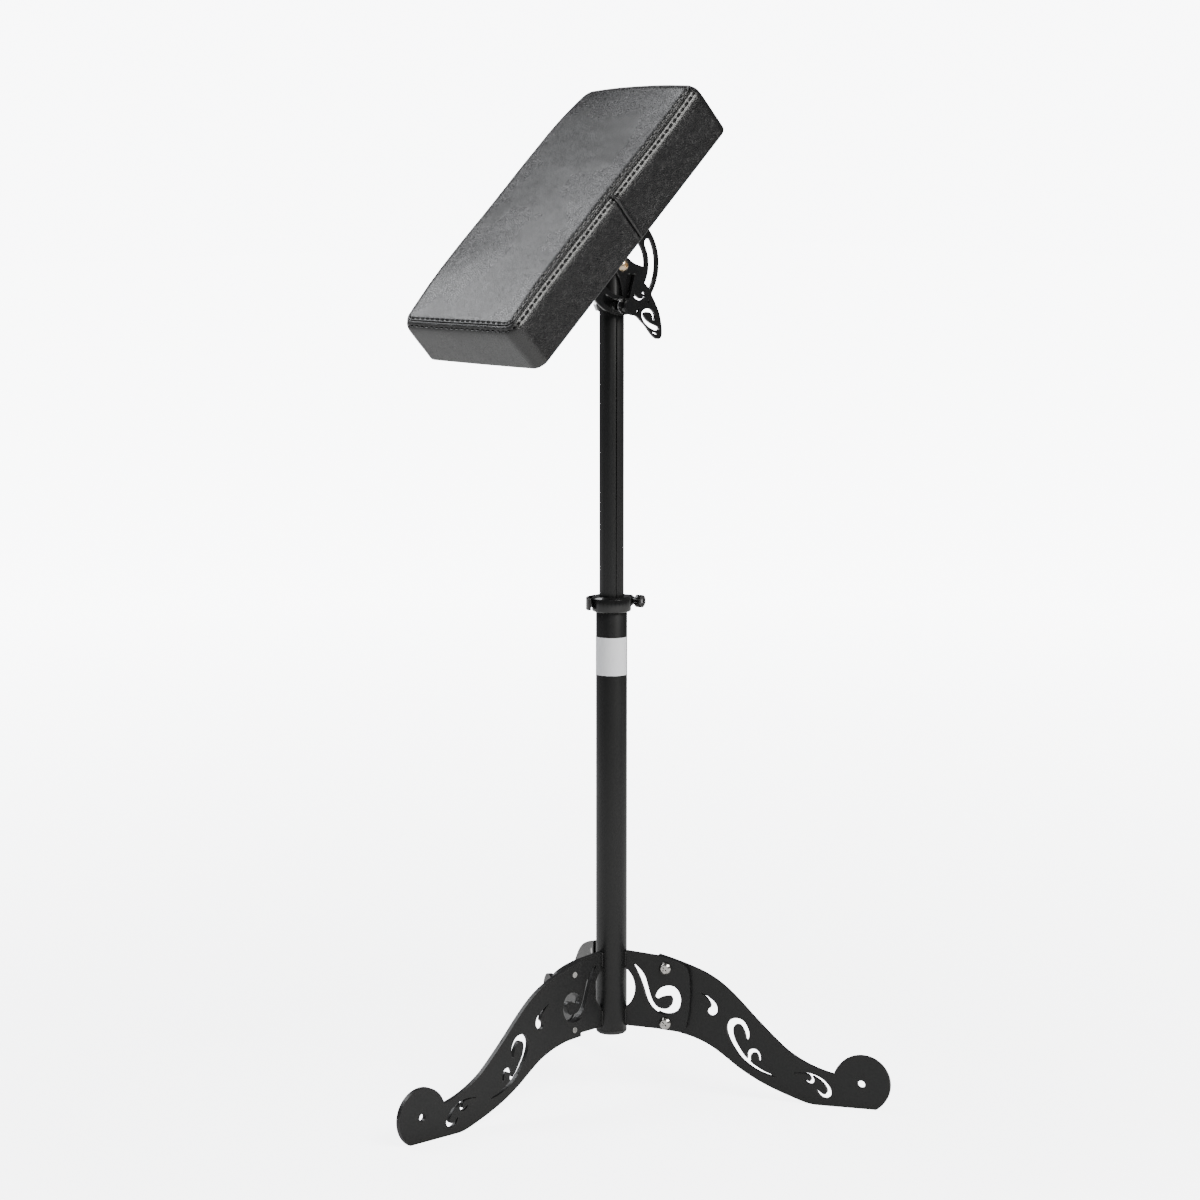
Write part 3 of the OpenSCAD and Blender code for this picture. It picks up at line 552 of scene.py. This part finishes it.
def cut_shape():
    """Distances from the seam, tilt, inset from the widest line, and height, all along the cut."""
    drop = 0.0
    for (start, first), (end, second) in zip(ROLL_TABLE, ROLL_TABLE[1:]):
        drop += (end - start) * math.sin(math.radians((first + second) / 2))
    side_end = ROLL_TABLE[-1][0] + THICK - drop - LOW_EDGE
    under = side_end + LOW_EDGE * math.pi / 2
    table = ROLL_TABLE + [(side_end, 90.0), (under, 180.0), (under + TUCK, 180.0)]
    w = np.linspace(table[0][0], table[-1][0], CUT_STEPS)
    tilt = np.radians(np.interp(w, [row[0] for row in table], [row[1] for row in table]))
    step, between = np.diff(w), (tilt[1:] + tilt[:-1]) / 2
    outward = np.concatenate([[0], np.cumsum(step * np.cos(between))])
    fall = np.concatenate([[0], np.cumsum(step * np.sin(between))])
    height = THICK - fall * THICK / fall.max()
    return w, tilt, outward.max() - outward, height, side_end, under


CUT_W, CUT_TILT, CUT_INSET, CUT_Z, U_SIDE_END, U_UNDER = cut_shape()
W_TOP, W_UNDER = CUT_W[0], CUT_W[-1]
print("the side runs from", ROLL_TABLE[-1][0], "to", round(U_SIDE_END, 1), "mm below the seam")

# %% [markdown]
# Seen from above, the outline is four straight lines and four quarter circles. It starts in the
# middle of the far end and runs anticlockwise. Each point is a foot on the box of the corners'
# centres and a direction outwards, so that smaller outlines keep their corners round.

# %% The outline seen from above
def outline(s):
    """Foot point and outward direction, for lengths s along the outline."""
    s = np.mod(np.asarray(s, float), ROUND)
    hx, hy = HALF_STRAIGHT
    arc = math.pi * CORNER / 2
    foot, out = np.zeros(s.shape + (2,)), np.zeros(s.shape + (2,))
    legs = [  # length, where it starts, its direction (none for an arc), angle of its outside
        (hy, (hx, 0), (0, 1), 0.0), (arc, (hx, hy), None, 0.0),
        (2 * hx, (hx, hy), (-1, 0), 90.0), (arc, (-hx, hy), None, 90.0),
        (2 * hy, (-hx, hy), (0, -1), 180.0), (arc, (-hx, -hy), None, 180.0),
        (2 * hx, (-hx, -hy), (1, 0), 270.0), (arc, (hx, -hy), None, 270.0),
        (hy, (hx, -hy), (0, 1), 360.0)]
    start = 0.0
    for size, origin, step, angle in legs:
        part = (s >= start) & (s <= start + size + 1e-9)
        along = (s - start)[part]
        if step is None:
            turn = np.radians(angle) + along / CORNER
            foot[part] = origin
        else:
            turn = np.full(along.shape, math.radians(angle))
            foot[part] = np.array(origin) + along[:, None] * np.array(step)
        out[part] = np.stack([np.cos(turn), np.sin(turn)], -1)
        start += size
    return foot, out


# %% [markdown]
# The seam is a narrow groove between two soft rolls. Each stitch pulls a dent into the leather at
# its two holes. The upright seam is a deeper groove with a lip beside it, and next to its top the
# leather gathers in small folds. All of them are bell curves that are added up.

# %% Seams and stitches as small rises and dips
SEAM_ROLLS = [(-1.3, 0.0, 0.4), (0.45, -0.9, 0.6), (0.35, 2.4, 1.5)]  # height, where, width
SIDE_ROLL = (0.35, 9.0, 3.2)
SIDE_SEAM_ROLLS = [(-3.0, 0, 0.6), (0.9, 2.8, 2.4), (0.35, -2.4, 1.8)]
STITCH_DENTS = [(0.25, 1.2, ROW_ABOVE, 0.7), (0.12, 2.1, ROW_BELOW, 0.65)]  # row, at the holes
HOLE_FROM, HOLE_SPAN = 0.3, 0.35  # where between two stitches the dent begins and is full
SEAM_BEGINS, SEAM_SHARPNESS, SEAM_END_SHARPNESS = 1.0, 3, 2
GATHER_ALONG, GATHER_DOWN = (2.0, 7.0), (7.5, 4.0)  # where and how wide
GATHER_MEAN, GATHER_FOLD, GATHER_BEAT = 0.6, 0.75, 1.9
NEAR_RISE, FAR_RISE = (-4.25, -1.75), (1.5, -6.2, -4.5)  # constant, slope and bend across


def ridge(w, at, width):
    return np.exp(-((w - at) / width) ** 2)


def bumps(s, w):
    """How far the leather stands out (+) or in (-), in mm."""
    beat = 0.5 + 0.5 * np.cos(2 * math.pi * s / PITCH)
    hole = np.clip((beat - HOLE_FROM) / HOLE_SPAN, 0, 1)
    rise = sum(height * ridge(w, at, width) for height, at, width in SEAM_ROLLS)
    for shallow, deeper, at, width in STITCH_DENTS:
        rise -= (shallow + deeper * hole) * ridge(w, at, width)
    height, at, width = SIDE_ROLL
    rise += height * ridge(w, at, width)
    lip = np.mod(s - SIDE_SEAM_S + ROUND / 2, ROUND) - ROUND / 2
    on_side = 1 / (1 + np.exp(-(w - SEAM_BEGINS) * SEAM_SHARPNESS))
    on_side = on_side / (1 + np.exp((w - U_SIDE_END - 1) * SEAM_END_SHARPNESS))
    rise += on_side * sum(height * ridge(lip, at, width) for height, at, width in SIDE_SEAM_ROLLS)
    gather = ridge(lip, *GATHER_ALONG) * ridge(w, *GATHER_DOWN)
    return rise + gather * (GATHER_MEAN + GATHER_FOLD * np.cos(lip * GATHER_BEAT))


def uneven(x, y, z):
    """How much a hand-made pad stands higher (+) or lower (-) near its ends, in mm."""
    v = 2 * y / WIDTH
    near = NEAR_RISE[0] + NEAR_RISE[1] * v
    far = FAR_RISE[0] + FAR_RISE[1] * v + FAR_RISE[2] * v ** 2
    end = np.clip((np.abs(2 * x / LENGTH) - 0.5) / 0.5, 0, 1) ** 2
    return end * np.where(x < 0, near, far) * height_share(z) ** 2


# %% [markdown]
# From the top's middle to the underside's middle, one number w is the distance from the seam:
# the flat top, the round edge, the seam at 0, the side, the lower edge, then the turned-in
# underside. Then the whole box is bent a little: the top is crowned, the ends bow out, the near
# end leans and the long sides draw in.

# %% From outline and distance to a point
def height_share(z):
    return np.clip(z / THICK, 0, 1)


def middle(value, size):
    """1 in the middle of a length and 0 at its ends."""
    return 1 - (2 * value / size) ** 2


def skin(s, w, lift=0.0):
    """Points in millimetres in the cushion's frame."""
    s, w = np.broadcast_arrays(np.asarray(s, float), np.asarray(w, float))
    foot, out = outline(s)
    tilt, inset, z = (np.interp(w, CUT_W, table) for table in (CUT_TILT, CUT_INSET, CUT_Z))
    push = lift + bumps(s, w)
    corner = CORNER - (CORNER - LOW_CORNER) * np.clip(w / U_SIDE_END, 0, 1)
    excess = np.maximum(inset - corner + TIGHTEST, 0) - (CORNER - corner)
    foot = foot * (1 - excess[..., None] / np.array(HALF_STRAIGHT))
    flat = foot + out * (np.maximum(corner - inset, TIGHTEST) + np.sin(tilt) * push)[..., None]
    q = np.clip(np.maximum(W_TOP - w, w - W_UNDER) / SPREAD, 0, 1)[..., None]
    spine = np.stack([np.clip(flat[..., 0], -SPINE_REACH, SPINE_REACH), np.zeros_like(s)], -1)
    flat = flat * (1 - q) + spine * q
    x, y = flat[..., 0], flat[..., 1]
    belly = np.clip(np.sin(math.pi * height_share(z)), 0, 1)
    crown = CROWN * np.clip(middle(x, LENGTH), 0, 1) * np.clip(middle(y, WIDTH), 0, 1)
    z = z + np.cos(tilt) * push + crown * np.clip((z - THICK + LOW_EDGE) / LOW_EDGE, 0, 1)
    lean = END_LEAN * height_share(z) * (x < 0) * (2 * x / LENGTH) ** 2
    x = x * (1 + END_BOW / LENGTH * 2 * middle(y, WIDTH)) - lean
    y = y * (1 - SIDE_DRAW / WIDTH * 2 * middle(x, LENGTH) * belly)
    return np.stack([x, y, z + uneven(x, y, z)], -1)


def to_pad(points):
    """Millimetres in the cushion's frame to metres in the model's."""
    flat = (np.asarray(points).reshape(-1, 3) + np.array(CUSHION_PLACE)) * MM
    turn = np.array(PAD_FRAME.to_3x3())
    return flat @ turn.T + np.array(PAD_FRAME.translation)


# %% [markdown]
# ## Building pieces from points
# Every soft or small piece is a list of points and faces: either a closed band of rows, as the
# leather, or many short tubes, as the stitches, the staples and the welds.

# %% Bands and tubes
UP = np.array([0.0, 0.0, 1.0])


def link_mesh(name, points, faces, material, smooth=True):
    mesh = bpy.data.meshes.new(name)
    mesh.from_pydata([tuple(p) for p in points], [], faces)
    mesh.materials.append(material)
    for face in mesh.polygons:
        face.use_smooth = smooth
    piece = bpy.data.objects.new(name, mesh)
    bpy.context.scene.collection.objects.link(piece)
    return piece


def band_faces(rows, columns):
    """Faces between neighbouring rows of points that close round to a ring."""
    return [(r * columns + c, (r + 1) * columns + c, (r + 1) * columns + (c + 1) % columns,
             r * columns + (c + 1) % columns) for r in range(rows - 1) for c in range(columns)]


def tube_faces(rings, sides):
    """Faces of a tube of rings, closed at both ends."""
    faces = [(i * sides + k, i * sides + (k + 1) % sides,
              (i + 1) * sides + (k + 1) % sides, (i + 1) * sides + k)
             for i in range(rings - 1) for k in range(sides)]
    return faces + [tuple(reversed(range(sides))),
                    tuple(range((rings - 1) * sides, rings * sides))]


def ring(centre, size, first, second, sides):
    """Points on a circle round centre, in the plane of two directions."""
    turns = [2 * math.pi * k / sides for k in range(sides)]
    return [centre + size * (math.cos(turn) * first + math.sin(turn) * second)
            for turn in turns]


def add_tube(points, faces, made, sides):
    """Add one tube's points, and its faces, to the lists of a piece made of many tubes."""
    faces += [tuple(i + len(points) for i in face)
              for face in tube_faces(len(made) // sides, sides)]
    points += made


# %% [markdown]
# ## The leather cover
# The fine skin has ten points for each stitch, so that the small scallops between the stitches
# are real shape. Rows lie closest at the seam. Slow, faint waves keep the large faces from
# looking like plate; they fade out at the lower edge, where the leather is pulled tight.

# %% Build the cover
POINTS_PER_STITCH = 10
SIDE_SEAM_COLUMNS = np.arange(-6.0, 6.0, 0.33)
ROW_EDGES = [W_TOP - SPREAD, W_TOP, -4.6, 7.6, 14.0, U_SIDE_END, U_UNDER, W_UNDER,
             W_UNDER + SPREAD]
ROW_COUNTS = [13, 13, 51, 11, 12, 6, 3, 3]  # rows between one of these edges and the next
CALM_EDGE = 8.0
OTHER_WAVES = 400  # the side takes its waves from another place of the noise
WAVES = [(0.35, 0.022), (0.12, 0.07)]  # height in mm, waves per mm


def leather_waves(points):
    """Slow waves of the leather, in mm."""
    return np.array([sum(height * noise.noise(Vector(p) * scale) for height, scale in WAVES)
                     for p in points.reshape(-1, 3)]).reshape(points.shape[:-1])


def clean(mesh):
    """Join points that meet, and turn all faces outwards."""
    shell = bmesh.new()
    shell.from_mesh(mesh)
    bmesh.ops.remove_doubles(shell, verts=shell.verts, dist=0.02 * MM)
    bmesh.ops.recalc_face_normals(shell, faces=shell.faces)
    for face in shell.faces:
        face.smooth = True
    shell.to_mesh(mesh)
    shell.free()


def build_cover():
    even = np.arange(POINTS_PER_STITCH * STITCHES) * PITCH / POINTS_PER_STITCH
    columns = np.unique(np.concatenate([even, SIDE_SEAM_S + SIDE_SEAM_COLUMNS]))
    parts = [np.linspace(start, end, count, endpoint=False)
             for start, end, count in zip(ROW_EDGES, ROW_EDGES[1:], ROW_COUNTS)]
    rows = np.concatenate(parts + [ROW_EDGES[-1:]])
    grid = skin(columns[None, :], rows[:, None])
    calm = np.clip((U_SIDE_END - rows) / CALM_EDGE, 0, 1)[:, None]
    grid[..., 2] += leather_waves(grid) * calm * (rows < 0)[:, None]
    waves = leather_waves(grid + OTHER_WAVES) * calm * (rows >= 0)[:, None]
    _, out = outline(columns)
    grid[..., :2] += waves[..., None] * out[None]
    faces = band_faces(len(rows), len(columns))
    piece = link_mesh("cushion_cover", to_pad(grid), faces, leather)
    clean(piece.data)
    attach(piece, "pad")
    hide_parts("pad_cover", "pad_foam")
    return piece


cover = build_cover()
print("cover:", len(cover.data.polygons), "faces")

# %% [markdown]
# ## Stitches
# Each stitch is a short piece of waxed thread that lies on the leather and dives into a hole at
# both ends. It is a thin bent tube, repeated along two rows, one above the seam and one below.

# %% Sew the two rows
STITCH_SPAN = np.array([-0.26, -0.2, -0.12, 0.0, 0.12, 0.2, 0.26])  # shares of the pitch
STITCH_LIFT = np.array([-0.7, -0.1, 0.25, 0.35, 0.25, -0.1, -0.7])
THREAD_R, THREAD_TIP, THREAD_SIDES = 0.42, 0.35, 6


def stitch_points(path):
    """Rings of points along the path; the ends are narrower."""
    last = len(path) - 1
    points = []
    for i, centre in enumerate(path):
        ahead = path[min(i + 1, last)] - path[max(i - 1, 0)]
        ahead = ahead / np.linalg.norm(ahead)
        across = np.cross(ahead, UP)
        across = across / max(np.linalg.norm(across), 1e-9)
        size = THREAD_R * (THREAD_TIP if i in (0, last) else 1.0)
        points += ring(centre, size, across, np.cross(across, ahead), THREAD_SIDES)
    return points


def sew(name, rows):
    points, faces = [], []
    for w in rows:
        for k in range(STITCHES):
            s = (k + STITCH_SPAN) * PITCH
            path = skin(s, np.full_like(s, w), STITCH_LIFT)
            add_tube(points, faces, stitch_points(path), THREAD_SIDES)
    piece = link_mesh(name, to_pad(np.array(points)), faces, thread)
    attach(piece, "pad")


sew("seam_stitches", (ROW_ABOVE, ROW_BELOW))
print("stitches:", 2 * STITCHES)

# %% [markdown]
# ## Underside
# A sheet of black cloth hides the turned-in leather and the board. It is a thin slab with a
# rounded hem, and the base plate is screwed on through it. Staples hold it all round.

# %% The cloth
LINING_INSET, LINING_THICK = 7.0, 0.8
HEM = [(0.0, 0.0), (0.0, -0.7), (0.7, -1.0), (5.8, -1.0), (6.6, -0.7)]  # inset, share of thickness
LINING_RINGS = (0.34, 0.67, 1.0)


def build_lining():
    columns = np.arange(4 * STITCHES) * PITCH / 4
    foot, out = outline(columns)
    rings = []
    for depth, share in HEM:
        flat = foot + out * (CORNER - LINING_INSET - depth)
        height = np.full((len(columns), 1), share * LINING_THICK)
        rings.append(np.concatenate([flat, height], 1))
    last = rings[-1]
    spine_x = np.clip(last[:, 0], -SPINE_REACH, SPINE_REACH)
    spine = np.stack([spine_x, np.zeros(len(columns)), last[:, 2]], 1)
    for share in LINING_RINGS:
        rings.append(last * (1 - share) + spine * share)
    faces = band_faces(len(rings), len(columns))
    piece = link_mesh("lining", to_pad(np.array(rings)), faces, lining_cloth)
    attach(piece, "pad")
    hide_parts("pad_lining")
    return piece


lining = build_lining()
print("lining:", len(lining.data.polygons), "faces")

# %% [markdown]
# A staple is a flat wire with two legs that go into the board. It lies along the cloth's edge.

# %% The staples
STAPLES, STAPLE_INSET, STAPLE_WIDTH, STAPLE_LEG = 44, 11.0, 9.0, 0.9
WIRE, WIRE_FLATNESS, WIRE_SIDES = 0.4, 0.6, 4


def staple_points(path):
    """A flat four-sided wire along the path; its first and last point are the legs' ends."""
    along = (path[2] - path[1]) / np.linalg.norm(path[2] - path[1])
    half = np.cross(along, UP) * WIRE / 2
    points = []
    for p, inward in zip(path, (along, UP, UP, UP, -along)):
        deep = inward * WIRE * WIRE_FLATNESS
        points += [p + half, p - half, p - half + deep, p + half + deep]
    return points


def build_staples():
    points, faces = [], []
    for k in range(STAPLES):
        foot, out = outline(np.array([(k + 0.5) * ROUND / STAPLES]))
        half = np.array([-out[0][1], out[0][0], 0.0]) * STAPLE_WIDTH / 2
        centre = np.array([*(foot[0] + out[0] * (CORNER - STAPLE_INSET)), -LINING_THICK])
        leg = UP * STAPLE_LEG
        path = [centre - half + leg, centre - half, centre, centre + half, centre + half + leg]
        add_tube(points, faces, staple_points(path), WIRE_SIDES)
    piece = link_mesh("lining_staples", to_pad(np.array(points)), faces, zinc, smooth=False)
    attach(piece, "pad")


build_staples()
print("staples:", STAPLES)

# %% [markdown]
# ## Welds
# The hub plates are welded to the post along both sides, above and below their lens cut. A weld
# is a small rippled bead in the corner, so it is a thin tube whose thickness pulses.

# %% Run the weld beads
PLATE_AZIMUTHS, PLATE_HALF = (180, -60, 60), 2.5
WELD_SPANS = ((72.0, 87.0), (133.0, 148.5))
WELD_STEP, WELD_R, WELD_TIP, WELD_SIDES = 0.6, 1.5, 0.5, 8
RIPPLE, RIPPLE_LENGTH = 0.12, 2.4


def bead_points(corner, heights, out, across):
    """Rings of points up the corner; their size pulses, and the ends are narrower."""
    points = []
    for i, z in enumerate(heights):
        size = WELD_R * (1.0 + RIPPLE * math.cos(2 * math.pi * z / RIPPLE_LENGTH))
        size *= WELD_TIP if i in (0, len(heights) - 1) else 1.0
        points += ring(corner + [POST_X, 0, z], size, out, across, WELD_SIDES)
    return points


def build_welds():
    points, faces = [], []
    for azimuth in PLATE_AZIMUTHS:
        turn = math.radians(azimuth)
        out = np.array([math.cos(turn), math.sin(turn), 0.0])
        for side in (-1, 1):
            across = np.array([-out[1], out[0], 0.0]) * side
            corner = out * math.sqrt(POST_R ** 2 - PLATE_HALF ** 2) + across * PLATE_HALF
            for low, high in WELD_SPANS:
                made = bead_points(corner, np.arange(low, high, WELD_STEP), out, across)
                add_tube(points, faces, made, WELD_SIDES)
    piece = link_mesh("hub_welds", np.array(points) * MM, faces, powder_paint)
    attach(piece, "base")
    return piece


welds = build_welds()
print("welds:", len(welds.data.polygons), "faces")

# %% [markdown]
# ## Label
# A foil label is wrapped round the lower tube under the collar. It is left bare. It is a thin
# sleeve, a tenth of a millimetre proud of the paint, whose two ends stop short of meeting.

# %% Wrap the label
LABEL_LOW, LABEL_HIGH, LABEL_RIM = 437.0, 476.0, 0.15
LABEL_FROM, LABEL_TO, LABEL_STEPS = -229.0, -62.0, 90
LABEL_OUT, LABEL_IN = 0.12, 0.02


def build_label():
    angles = np.radians(np.linspace(LABEL_FROM, LABEL_TO, LABEL_STEPS))
    levels = [LABEL_LOW, LABEL_LOW + LABEL_RIM, LABEL_HIGH - LABEL_RIM, LABEL_HIGH]
    points = [(POST_X + radius * math.cos(a), radius * math.sin(a), z)
              for radius in (POST_R + LABEL_OUT, POST_R + LABEL_IN) for z in levels
              for a in angles]
    columns, rows = len(angles), len(levels)
    inner = columns * rows
    faces = []

    def add(quad, forwards):
        faces.append(quad if forwards else tuple(reversed(quad)))

    for layer in (0, inner):
        for r in range(rows - 1):
            for c in range(columns - 1):
                a, b = layer + r * columns + c, layer + (r + 1) * columns + c
                add((a, a + 1, b + 1, b), layer == 0)
    for r in (0, rows - 1):
        for c in range(columns - 1):
            a = r * columns + c
            add((a, inner + a, inner + a + 1, a + 1), r == 0)
    for c in (0, columns - 1):
        for r in range(rows - 1):
            a, b = r * columns + c, (r + 1) * columns + c
            add((a, b, inner + b, inner + a), c == 0)
    piece = link_mesh("post_label", np.array(points) * MM, faces, label_foil)
    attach(piece, "base")
    return piece


label = build_label()
print("label:", len(label.data.polygons), "faces")
